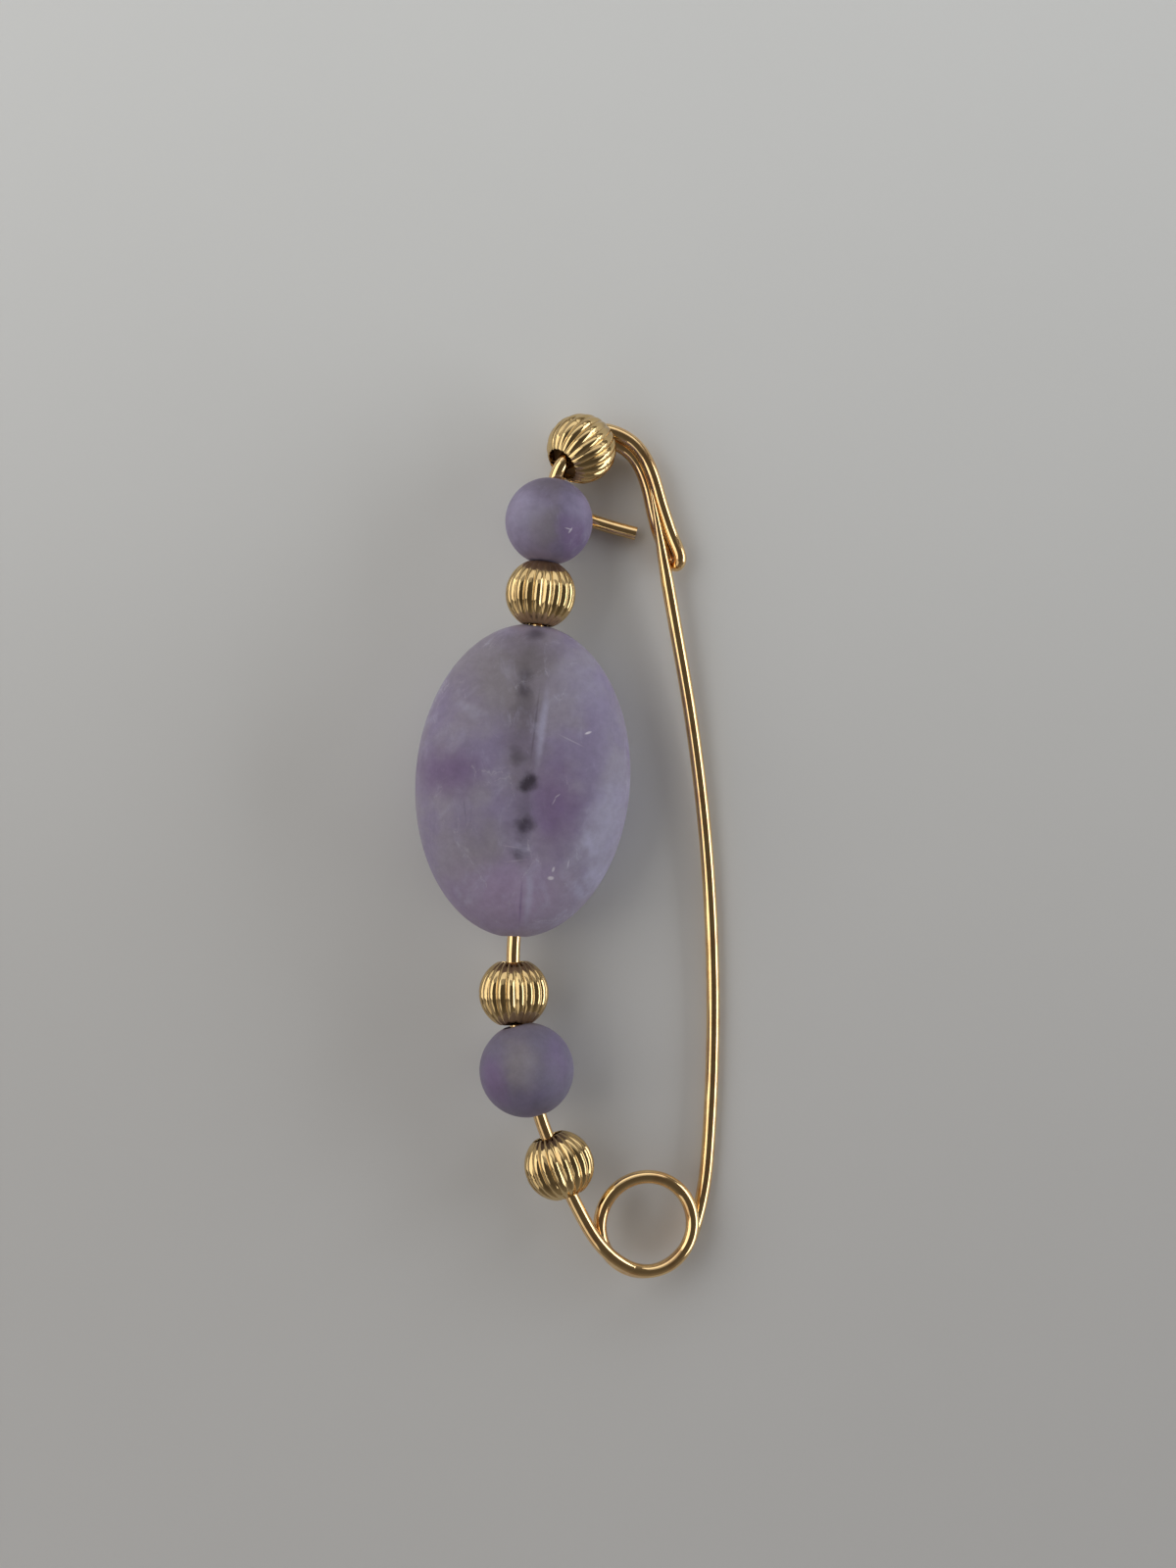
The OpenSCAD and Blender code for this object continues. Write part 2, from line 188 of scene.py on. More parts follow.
@dataclass(frozen=True)
class PinPlane:
    """The pin's sizes and the places that follow from them, in its own plane.

    The origin is the middle of the coil, at the height of its lower turn. X runs
    across towards the needle, Y along to the hook and Z up towards the viewer.
    """

    wire_d: float = 0.8
    coil_d: float = 5.45
    coil_gap: float = 0.12
    coil_spread: float = 0.35
    coil_start: float = 245
    coil_end: float = 700
    coil_low: float = 630
    exit_l: float = 4.8
    straight_l: float = 11
    point_l: float = 5.6
    root_lean: float = 4.5
    point_lean: float = 10.6
    point_rise: float = 0.26
    bow_low: float = 4
    lead_l: float = 4.1
    lead_angle: float = 212
    lead_reach: float = 1.19
    lead_rise: float = 0.25
    lower_gap: float = 1.4
    middle_gap: float = 1.4
    neck_l: float = 1.39
    lip_l: float = 0.704
    ribbed_d: float = 4.1
    ribbed_hole_d: float = 1.84
    top_hole_d: float = 2.06
    rim_w: float = 0.04
    upper_round_d: float = 5.1
    lower_round_d: float = 5.5
    oval_w: float = 12.5
    oval_l: float = 18.3
    oval_t: float = 6.5
    oval_end: float = 1.6
    drill_d: float = 1.2
    drill_offset: float = 0.17
    hook_l: float = 4.25
    point_drop: float = 2.3
    stub_l: float = 2.5
    bead_gap: float = 0.05
    fit_gap: float = 0.03
    strand_roll: float = 43

    @property
    def wire_r(self) -> float:
        """Radius of the wire."""
        return self.wire_d / 2

    @property
    def ribbed_l(self) -> float:
        """Length of a ribbed bead between its two rims."""
        return through_hole(self.ribbed_d, self.ribbed_hole_d + 2 * self.rim_w)

    @property
    def top_bead_l(self) -> float:
        """Length of the top bead, whose holes are opened up for two strands."""
        return through_hole(self.ribbed_d, self.top_hole_d + 2 * self.rim_w)

    @property
    def nest_l(self) -> float:
        """How deep the upper round stone sits in the mouth of the bead below it."""
        mouth = through_hole(self.upper_round_d, self.ribbed_hole_d + 2 * self.rim_w)
        return (through_hole(self.upper_round_d, self.drill_d) - mouth) / 2

    @cached_property
    def rows(self) -> list[BarRow]:
        """The stretches of the front bar, from the coil up to the top bead."""
        ribbed = self.ribbed_l + self.bead_gap
        lower = through_hole(self.lower_round_d, self.drill_d) + self.bead_gap
        upper = through_hole(self.upper_round_d, self.drill_d) + self.bead_gap
        return [
            BarRow(self.lead_l, -28.8, -6),
            BarRow(ribbed, -20.5, -6),
            BarRow(self.lower_gap, -20, -5),
            BarRow(lower, -15, -4),
            BarRow(ribbed, -1, -2),
            BarRow(self.middle_gap, 3, 0),
            BarRow(self.oval_end, 4.2, 1),
            BarRow(self.oval_l + self.bead_gap - 2 * self.oval_end, 4.2, 1),
            BarRow(self.oval_end, 4.2, 1),
            BarRow(ribbed - self.nest_l, 5.5, 0),
            BarRow(upper, 8, -1),
            BarRow(self.neck_l, 2.2, 52.7),
            BarRow(self.lip_l, 40.3, -53.4),
            BarRow(self.top_bead_l, 52, -19),
        ]

    def coil_point(self, angle: float) -> Vector:
        """Gives a point of the coil's centre line at an angle in degrees."""
        share = (angle - self.coil_start) / (self.coil_end - self.coil_start)
        radius = self.coil_d / 2 + self.coil_spread * max(share, 0) ** 3
        turn = math.radians(angle)
        height = (self.wire_d + self.coil_gap) * (self.coil_end - angle) / 360
        return Vector((radius * math.cos(turn), radius * math.sin(turn), height))

    def exit_point(self, share: float) -> Vector:
        """Gives a point of the curve between the coil and the needle, from 0 to 1."""
        first = 720 - self.coil_end
        turn = first - self.root_lean
        radius = self.exit_l / math.radians(turn)
        a, b = math.radians(first), math.radians(first - share * turn)
        bend = Vector((math.cos(b) - math.cos(a), math.sin(a) - math.sin(b), 0))
        return self.coil_point(self.coil_end) + bend * radius

    @cached_property
    def needle_root(self) -> Vector:
        """Where the needle leaves the coil."""
        return self.exit_point(1)

    def corner(self, index: int) -> Vector:
        """Gives a corner of the front bar, counted from the coil."""
        turn = math.radians(self.lead_angle)
        reach = self.coil_d / 2 * self.lead_reach
        height = self.coil_point(self.coil_start).z + self.lead_rise * self.wire_d
        place = Vector((reach * math.cos(turn), reach * math.sin(turn), height))
        for row in self.rows[:index]:
            place += row.step
        return place

    def middle(self, row: Row) -> Vector:
        """Gives the middle of a row of the front bar."""
        return (self.corner(row.value) + self.corner(row.value + 1)) / 2

    def way(self, row: Row) -> Vector:
        """Gives the direction of a row of the front bar."""
        return self.rows[row.value].step.normalized()

    @cached_property
    def strand_offset(self) -> Vector:
        """From the middle of the top bead's hole to the strand of the tail."""
        axis = self.way(Row.TOP)
        side = axis.cross(UP).normalized()
        lift = side.cross(axis)
        roll = math.radians(self.strand_roll)
        return (side * math.sin(roll) - lift * math.cos(roll)) * (self.wire_r + self.fit_gap)

    @cached_property
    def top_middle(self) -> Vector:
        """Middle of the top bead."""
        return self.middle(Row.TOP) + self.strand_offset

    @cached_property
    def tip_along(self) -> float:
        """How far along the pin the needle's point lies."""
        return self.top_middle.y - self.point_drop

    @cached_property
    def bow_r(self) -> float:
        """Radius of the needle's slack bow."""
        lean, end = math.radians(self.root_lean), math.radians(self.point_lean)
        rise = self.tip_along - self.needle_root.y - self.straight_l * math.cos(end)
        return rise / (math.sin(lean) + math.sin(end))

    @cached_property
    def needle_tilt(self) -> float:
        """Climb of the whole needle, in radians."""
        return math.atan(self.point_rise / (self.tip_along - self.needle_root.y))

    @property
    def needle_axis(self) -> Vector:
        """Direction of the needle's straight end."""
        return way_of(-self.point_lean)

    @cached_property
    def needle_tip(self) -> Vector:
        """Tip of the needle, with the small rise that keeps it over the hook."""
        flat = self.bow_point(1) + self.needle_axis * self.straight_l
        return flat + UP * self.point_rise

    def bow_point(self, share: float) -> Vector:
        """Gives a point of the flat bow, from the root at 0 to the straight end at 1."""
        first = math.radians(self.root_lean)
        turn = first - share * math.radians(self.root_lean + self.point_lean)
        bend = Vector((math.cos(turn) - math.cos(first), math.sin(first) - math.sin(turn), 0))
        return self.needle_root + bend * self.bow_r

    @cached_property
    def low_bow(self) -> tuple[float, float]:
        """How far the bow's resting point lies across from the oval stone, and above it."""
        oval = self.middle(Row.OVAL)
        lean, low = math.radians(self.root_lean), self.bow_low * self.needle_tilt
        across = self.needle_root.x + self.bow_r * (math.cos(low) - math.cos(lean)) - oval.x
        high = math.tan(self.needle_tilt) * self.bow_r * (math.sin(lean) - math.sin(low)) - oval.z
        return across, high

    @cached_property
    def lying_tilt(self) -> float:
        """Turn about Y that lays the oval stone flat and the bow on the table."""
        across, high = self.low_bow
        reach = math.hypot(across, high)
        return math.asin((self.oval_t / 2 - self.wire_r) / reach) + math.atan2(high, across)

    @cached_property
    def lying_place(self) -> Vector:
        """Where the middle of the oval's hole lies in the frame."""
        oval = self.middle(Row.OVAL)
        heading = math.radians(self.rows[Row.OVAL.value].heading)
        half = math.hypot(self.oval_w / 2 * math.cos(heading), self.oval_l / 2 * math.sin(heading))
        half += self.drill_offset
        across, high = self.low_bow
        tilt = self.lying_tilt
        right = across * math.cos(tilt) + high * math.sin(tilt) + self.wire_r
        low_y = self.coil_point(self.coil_low).y - oval.y - self.wire_r
        high_y = self.top_middle.y - oval.y + self.ribbed_d / 2
        return Vector(((half - right) / 2, -(low_y + high_y) / 2, self.oval_t / 2))

    @cached_property
    def lying(self) -> Matrix:
        """Takes the pin's own plane, in millimetres, to the frame, in metres."""
        return (
            Matrix.Scale(MM, 4)
            @ Matrix.Translation(self.lying_place)
            @ Matrix.Rotation(self.lying_tilt, 4, "Y")
            @ Matrix.Translation(-self.middle(Row.OVAL))
        )


# Mesh helpers


class Piece:
    """A mesh on its way to becoming a finished piece of the object."""

    def __init__(self, name: str) -> None:
        """Starts an empty mesh under the piece's name."""
        self.name = name
        self.mesh = bmesh.new()

    def spin(self, profile: list[tuple[float, float]], steps: int) -> None:
        """Turns a closed profile of radii and heights about Z."""
        verts = [self.mesh.verts.new((radius, 0, height)) for radius, height in profile]
        edges = [self.mesh.edges.new(pair) for pair in zip(verts, verts[1:] + verts[:1])]
        bmesh.ops.spin(
            self.mesh,
            geom=verts + edges,
            cent=(0, 0, 0),
            axis=(0, 0, 1),
            dvec=(0, 0, 0),
            angle=2 * math.pi,
            steps=steps,
            use_merge=True,
        )

    def sweep(self, path: list[Vector], radii: list[float], sides: int = 32) -> None:
        """Draws a round wire along a path, with a radius at each point, and closes its ends."""
        last = len(path) - 1
        side = (path[1] - path[0]).orthogonal()
        place = Matrix.Identity(4)
        edges: list[bmesh.types.BMEdge] = []
        for i, centre in enumerate(path):
            way = (path[min(i + 1, last)] - path[max(i - 1, 0)]).normalized()
            side = (side - way * side.dot(way)).normalized()
            turn = Matrix((side, way.cross(side), way)).transposed().to_4x4()
            new_place = Matrix.Translation(centre) @ turn @ Matrix.Scale(radii[i], 4)
            if i == 0:
                bmesh.ops.create_circle(self.mesh, segments=sides, radius=1, matrix=new_place)
                edges = list(self.mesh.edges)
                self.close_end(edges)
            else:
                geom = bmesh.ops.extrude_edge_only(self.mesh, edges=edges)["geom"]
                verts = {g for g in geom if isinstance(g, bmesh.types.BMVert)}
                edges = [
                    g
                    for g in geom
                    if isinstance(g, bmesh.types.BMEdge) and verts.issuperset(g.verts)
                ]
                bmesh.ops.transform(
                    self.mesh, matrix=new_place @ place.inverted(), verts=list(verts)
                )
            place = new_place
        self.close_end(edges)

    def close_end(self, edges: list[bmesh.types.BMEdge]) -> None:
        """Closes a round end with one flat face and keeps its rim crisp."""
        cap = bmesh.ops.contextual_create(self.mesh, geom=edges)["faces"]
        bmesh.ops.poke(self.mesh, faces=cap)
        for edge in edges:
            edge.smooth = False

    def place(self, matrix: Matrix) -> None:
        """Moves the whole mesh by a matrix."""
        bmesh.ops.transform(self.mesh, matrix=matrix, verts=self.mesh.verts)

    def to_object(self) -> bpy.types.Object:
        """Ends the mesh and links it to the scene as an object at the origin."""
        bmesh.ops.recalc_face_normals(self.mesh, faces=self.mesh.faces)
        for face in self.mesh.faces:
            face.smooth = True
        data = bpy.data.meshes.new(self.name)
        self.mesh.to_mesh(data)
        self.mesh.free()
        made = bpy.data.objects.new(self.name, data)
        bpy.context.scene.collection.objects.link(made)
        return made


def dress(
    made: bpy.types.Object,
    finish: bpy.types.Material,
    nodes: list[str],
    body: Body | None = Body.BAR,
) -> bpy.types.Object:
    """Gives a piece its material, its body and the nodes that it stands for.

    Args:
        made: The finished object.
        finish: Its material.
        nodes: The CAD nodes that it replaces.
        body: The body that it rides on, or none for the piece that joins the two, which is then
            attached to neither.

    Returns:
        The same object.
    """
    made.data.materials.append(finish)
    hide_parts(*nodes)
    if body is not None:
        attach(made, body.value)
    LOG.info("%s: %d faces", made.name, len(made.data.polygons))
    return made


# Node helpers


class Graph:
    """A node tree with short ways to add and join its nodes."""

    def __init__(self, tree: bpy.types.NodeTree) -> None:
        """Keeps the tree that the nodes go into."""
        self.tree = tree

    def feed(self, socket: bpy.types.NodeSocket, value: Any) -> None:
        """Links another socket to this one, or sets its own value."""
        if isinstance(value, bpy.types.NodeSocket):
            self.tree.links.new(value, socket)
        else:
            socket.default_value = value

    def node(self, kind: str, sockets: dict[Any, Any], **settings: Any) -> bpy.types.Node:
        """Adds a node.

        Args:
            kind: Blender's name of the node's type.
            sockets: Values or links for its inputs, by name or number.
            settings: The node's own properties.

        Returns:
            The node.
        """
        made = self.tree.nodes.new(kind)
        for key, value in settings.items():
            setattr(made, key, value)
        for key, value in sockets.items():
            self.feed(made.inputs[key], value)
        return made

    def math(self, operation: str, a: Any, b: Any = 0.0) -> bpy.types.NodeSocket:
        """Adds a Math node and gives its result."""
        return self.node("ShaderNodeMath", {0: a, 1: b}, operation=operation).outputs[0]

    def vector(self, operation: str, a: Any, b: Any = (0, 0, 0)) -> bpy.types.NodeSocket:
        """Adds a Vector Math node and gives its result."""
        made = self.node("ShaderNodeVectorMath", {0: a, 1: b}, operation=operation)
        return made.outputs["Value" if operation == "LENGTH" else "Vector"]

    def noise(self, place: Any, scale: Any, detail: float, **more: float) -> bpy.types.Node:
        """Adds a noise texture, with more of its inputs by their names."""
        sockets = {"Vector": place, "Scale": scale, "Detail": detail, **more}
        return self.node("ShaderNodeTexNoise", sockets)

    def group(self, tree: bpy.types.NodeTree, place: Any, **more: Any) -> bpy.types.Node:
        """Adds a node group at a place, with more of its inputs by their names."""
        sockets = {"Place": place, **{key.replace("_", " "): v for key, v in more.items()}}
        return self.node("ShaderNodeGroup", sockets, node_tree=tree)

    def bump(self, shader: bpy.types.Node, strength: float, depth: float, height: Any) -> None:
        """Roughens a shader's surface by a height, with its depth in millimetres."""
        sockets = {"Strength": strength, "Distance": depth * MM, "Height": height}
        self.feed(shader.inputs["Normal"], self.node("ShaderNodeBump", sockets).outputs[0])

    def mix(self, share: Any, a: Any, b: Any) -> bpy.types.NodeSocket:
        """Mixes two colours and gives the result."""
        made = self.node("ShaderNodeMix", {}, data_type="RGBA")
        self.feed(made.inputs[0], share)
        self.feed(made.inputs[6], a)
        self.feed(made.inputs[7], b)
        return made.outputs[2]

    def ramp(self, value: Any, low: Any, high: float, to: tuple[float, float]) -> Any:
        """Maps a value smoothly from one range to another and gives the result."""
        sockets = {0: value, 1: low, 2: high, 3: to[0], 4: to[1]}
        made = self.node("ShaderNodeMapRange", sockets, interpolation_type="SMOOTHSTEP")
        return made.outputs[0]


SocketSpec = tuple[str, str, Any]


def new_group(name: str, inputs: list[SocketSpec], outputs: list[SocketSpec]) -> tuple:
    """Starts a shader node group with named sockets.

    Args:
        name: The group's name.
        inputs: Name, kind and value of each input.
        outputs: Name, kind and value of each output.

    Returns:
        The group, its graph, its input node and its output node.
    """
    tree = bpy.data.node_groups.new(name, "ShaderNodeTree")
    for in_out, specs in (("INPUT", inputs), ("OUTPUT", outputs)):
        for label, kind, value in specs:
            socket = tree.interface.new_socket(
                label, in_out=in_out, socket_type=f"NodeSocket{kind}"
            )
            if value is not None:
                socket.default_value = value
    graph = Graph(tree)
    return tree, graph, graph.node("NodeGroupInput", {}), graph.node("NodeGroupOutput", {})


def cloud_group() -> bpy.types.NodeTree:
    """Builds the group that marks one soft oval patch, from 1 in its middle to 0 outside."""
    tree, graph, given, result = new_group(
        "stone_cloud",
        [
            ("Place", "Vector", None),
            ("Centre", "Vector", None),
            ("Radii", "Vector", (1.0, 1.0, 1.0)),
            ("Turn", "Float", 0.0),
            ("Core", "Float", 0.2),
        ],
        [("Mask", "Float", None)],
    )
    away = graph.vector("SUBTRACT", given.outputs["Place"], given.outputs["Centre"])
    turned = graph.node(
        "ShaderNodeVectorRotate",
        {"Vector": away, "Angle": given.outputs["Turn"]},
        rotation_type="Z_AXIS",
    )
    shares = graph.vector("DIVIDE", turned.outputs[0], given.outputs["Radii"])
    reach = graph.vector("LENGTH", shares)
    mask = graph.ramp(reach, given.outputs["Core"], 1.0, (1.0, 0.0))
    graph.feed(result.inputs["Mask"], mask)
    return tree


def grain_group() -> bpy.types.NodeTree:
    """Builds the group of fine grain and slow drift that stone, metal and table share."""
    tree, graph, given, result = new_group(
        "fine_grain",
        [
            ("Place", "Vector", None),
            ("Grain per mm", "Float", 14.0),
            ("Drift per mm", "Float", 0.6),
        ],
        [("Height", "Float", None), ("Drift", "Float", None)],
    )
    place = given.outputs["Place"]
    fine = graph.noise(place, given.outputs["Grain per mm"], 3.0, Roughness=0.6)
    slow = graph.noise(place, given.outputs["Drift per mm"], 4.0, Roughness=0.55)
    graph.feed(result.inputs["Height"], fine.outputs["Fac"])
    graph.feed(result.inputs["Drift"], slow.outputs["Fac"])
    return tree


def wisp_group() -> bpy.types.NodeTree:
    """Builds the group of veils, mottling and hair cracks inside the stones."""
    tree, graph, given, result = new_group(
        "stone_wisps",
        [("Place", "Vector", None)],
        [("Wisps", "Float", None), ("Mottle", "Float", None), ("Cracks", "Float", None)],
    )
    place = given.outputs["Place"]
    drawn = graph.vector("MULTIPLY", place, (1.0, 0.55, 1.0))
    veil = graph.noise(drawn, 0.55, 9.0, Roughness=0.68, Distortion=0.9)
    graph.feed(result.inputs["Wisps"], graph.ramp(veil.outputs["Fac"], 0.50, 0.74, (0.0, 1.0)))
    speck = graph.noise(place, 1.7, 8.0, Roughness=0.7)
    graph.feed(result.inputs["Mottle"], graph.ramp(speck.outputs["Fac"], 0.3, 0.7, (0.0, 1.0)))
    sway = graph.vector("MULTIPLY", speck.outputs["Color"], (0.7, 0.7, 0.7))
    cells = graph.node(
        "ShaderNodeTexVoronoi",
        {"Vector": graph.vector("ADD", drawn, sway), "Scale": 0.42},
        feature="DISTANCE_TO_EDGE",
    )
    hair = graph.ramp(cells.outputs["Distance"], 0.0, 0.012, (1.0, 0.0))
    shown = graph.ramp(veil.outputs["Fac"], 0.50, 0.60, (0.0, 1.0))
    graph.feed(result.inputs["Cracks"], graph.math("MULTIPLY", hair, shown))
    return tree


@dataclass(frozen=True)
class SharedGroups:
    """The node groups that more than one finish uses."""

    cloud: bpy.types.NodeTree
    grain: bpy.types.NodeTree
    wisps: bpy.types.NodeTree


def new_material(name: str) -> tuple[bpy.types.Material, Graph, bpy.types.Node]:
    """Starts a material and gives it with its graph and its principled shader."""
    material = bpy.data.materials.new(name)
    material.use_nodes = True
    graph = Graph(material.node_tree)
    shader = material.node_tree.nodes["Principled BSDF"]
    return material, graph, shader


def place_in_mm(graph: Graph, centre: Vector, turn: float = 0.0) -> bpy.types.NodeSocket:
    """Gives the place on a piece in millimetres from a centre in the frame.

    Args:
        graph: The graph of the material.
        centre: The centre in metres.
        turn: Turn of the pattern about Z, in degrees.

    Returns:
        The socket of the vector.
    """
    source = graph.node("ShaderNodeTexCoord", {})
    mapping = graph.node(
        "ShaderNodeMapping",
        {
            "Vector": source.outputs["Object"],
            "Location": centre,
            "Rotation": (0, 0, math.radians(turn)),
            "Scale": (MM, MM, MM),
        },
        vector_type="TEXTURE",
    )
    return mapping.outputs[0]


@dataclass(frozen=True)
class GoldFinish:
    """Warm polished gold with a thin uneven tarnish."""

    name: str
    bright: Colour = (0.93, 0.66, 0.33, 1)
    worn: Colour = (0.80, 0.50, 0.24, 1)
    roughness: tuple[float, float] = (0.05, 0.15)
    bump: float = 0.02

    def build(self, groups: SharedGroups) -> bpy.types.Material:
        """Makes the material with the shared node groups."""
        material, graph, shader = new_material(self.name)
        place = place_in_mm(graph, Vector())
        grain = graph.group(groups.grain, place, Grain_per_mm=9.0, Drift_per_mm=0.9)
        drawn = graph.noise(graph.vector("MULTIPLY", place, (12, 0.5, 12)), 1.0, 2.0)
        tarnish = graph.ramp(grain.outputs["Drift"], 0.42, 0.72, (0.0, 1.0))
        graph.feed(shader.inputs["Base Color"], graph.mix(tarnish, self.bright, self.worn))
        uneven = graph.math(
            "ADD",
            graph.math("MULTIPLY", grain.outputs["Drift"], 0.7),
            graph.math("MULTIPLY", drawn.outputs["Fac"], 0.3),
        )
        graph.feed(shader.inputs["Roughness"], graph.ramp(uneven, 0.3, 0.75, self.roughness))
        height = graph.math("ADD", grain.outputs["Height"], drawn.outputs["Fac"])
        graph.bump(shader, self.bump, 0.02, height)
        shader.inputs["Metallic"].default_value = 1.0
        return material


WIRE_GOLD = GoldFinish("wire_gold")
BEAD_GOLD = GoldFinish(
    "bead_gold",
    bright=(0.73, 0.53, 0.255, 1),
    worn=(0.51, 0.355, 0.165, 1),
    roughness=(0.045, 0.11),
    bump=0.0,
)
# Painted shade: the insides of the hollow beads get a darker gold, besides their real rougher
# finish.
BEAD_INSIDE_SHADED = GoldFinish(
    "bead_inside_shaded",
    bright=(0.36, 0.22, 0.10, 1),
    worn=(0.22, 0.13, 0.06, 1),
    roughness=(0.4, 0.6),
)


@dataclass(frozen=True)
class Patch:
    """One soft patch of another colour inside a stone, in millimetres."""

    centre: tuple[float, float]
    radii: tuple[float, float]
    colour: Colour
    strength: float
    turn: float = 0.0
    core: float = 0.1


@dataclass(frozen=True)
class StoneFinish:
    """Frosted lavender quartz with cloudy zones and flaws, and painted shade where its drilled
    hole shows through.
    """

    name: str
    centre: Vector
    heading: float
    base: Colour
    haze: Colour
    patches: tuple[Patch, ...]
    roughness: tuple[float, float] = (0.46, 0.60)
    glow: float = 0.35
    wisps: float = 0.45
    cracks: float = 0.22
    sway: float = 1.5
    steady_below: float = 0.6
    depth: float = 40

    def build(self, groups: SharedGroups) -> bpy.types.Material:
        """Makes the material with the shared node groups."""
        material, graph, shader = new_material(self.name)
        place = place_in_mm(graph, self.centre, -self.heading)
        grain = graph.group(groups.grain, place, Drift_per_mm=0.35)
        drift = graph.ramp(grain.outputs["Drift"], 0.35, 0.65, (0.0, 1.0))
        colour = graph.mix(drift, self.base, self.haze)
        waves = graph.noise(place, 0.8, 5.0)
        push = graph.vector("SUBTRACT", waves.outputs["Color"], (0.5, 0.5, 0.5))
        push = graph.vector("MULTIPLY", push, (self.sway, self.sway, self.sway))
        bent = graph.vector("ADD", place, push)
        for patch in self.patches:
            small = min(patch.radii) < self.steady_below
            mask = graph.group(
                groups.cloud,
                place if small else bent,
                Centre=(*patch.centre, 0),
                Radii=(*patch.radii, self.depth),
                Turn=math.radians(patch.turn),
                Core=patch.core,
            )
            share = graph.math("MULTIPLY", mask.outputs["Mask"], patch.strength)
            colour = graph.mix(share, colour, patch.colour)
        wisps = graph.group(groups.wisps, place)
        pale = graph.math("MULTIPLY", wisps.outputs["Wisps"], self.wisps)
        colour = graph.mix(pale, colour, PALE)
        lines = graph.math("MULTIPLY", wisps.outputs["Cracks"], self.cracks)
        colour = graph.mix(lines, colour, CHIP)
        shade = graph.mix(wisps.outputs["Mottle"], (0.92, 0.91, 0.92, 1), (1.07, 1.07, 1.08, 1))
        graph.feed(shader.inputs["Base Color"], graph.vector("MULTIPLY", colour, shade))
        frost = graph.ramp(grain.outputs["Drift"], 0.2, 0.8, self.roughness)
        graph.feed(shader.inputs["Roughness"], frost)
        graph.bump(shader, 0.10, 0.02, grain.outputs["Height"])
        for label, value in {
            "Subsurface Weight": self.glow,
            "Subsurface Radius": (1.0, 0.85, 1.0),
            "Subsurface Scale": 1.5 * MM,
            "IOR": 1.54,
            "Specular IOR Level": 0.3,
        }.items():
            shader.inputs[label].default_value = value
        return material


# The pieces


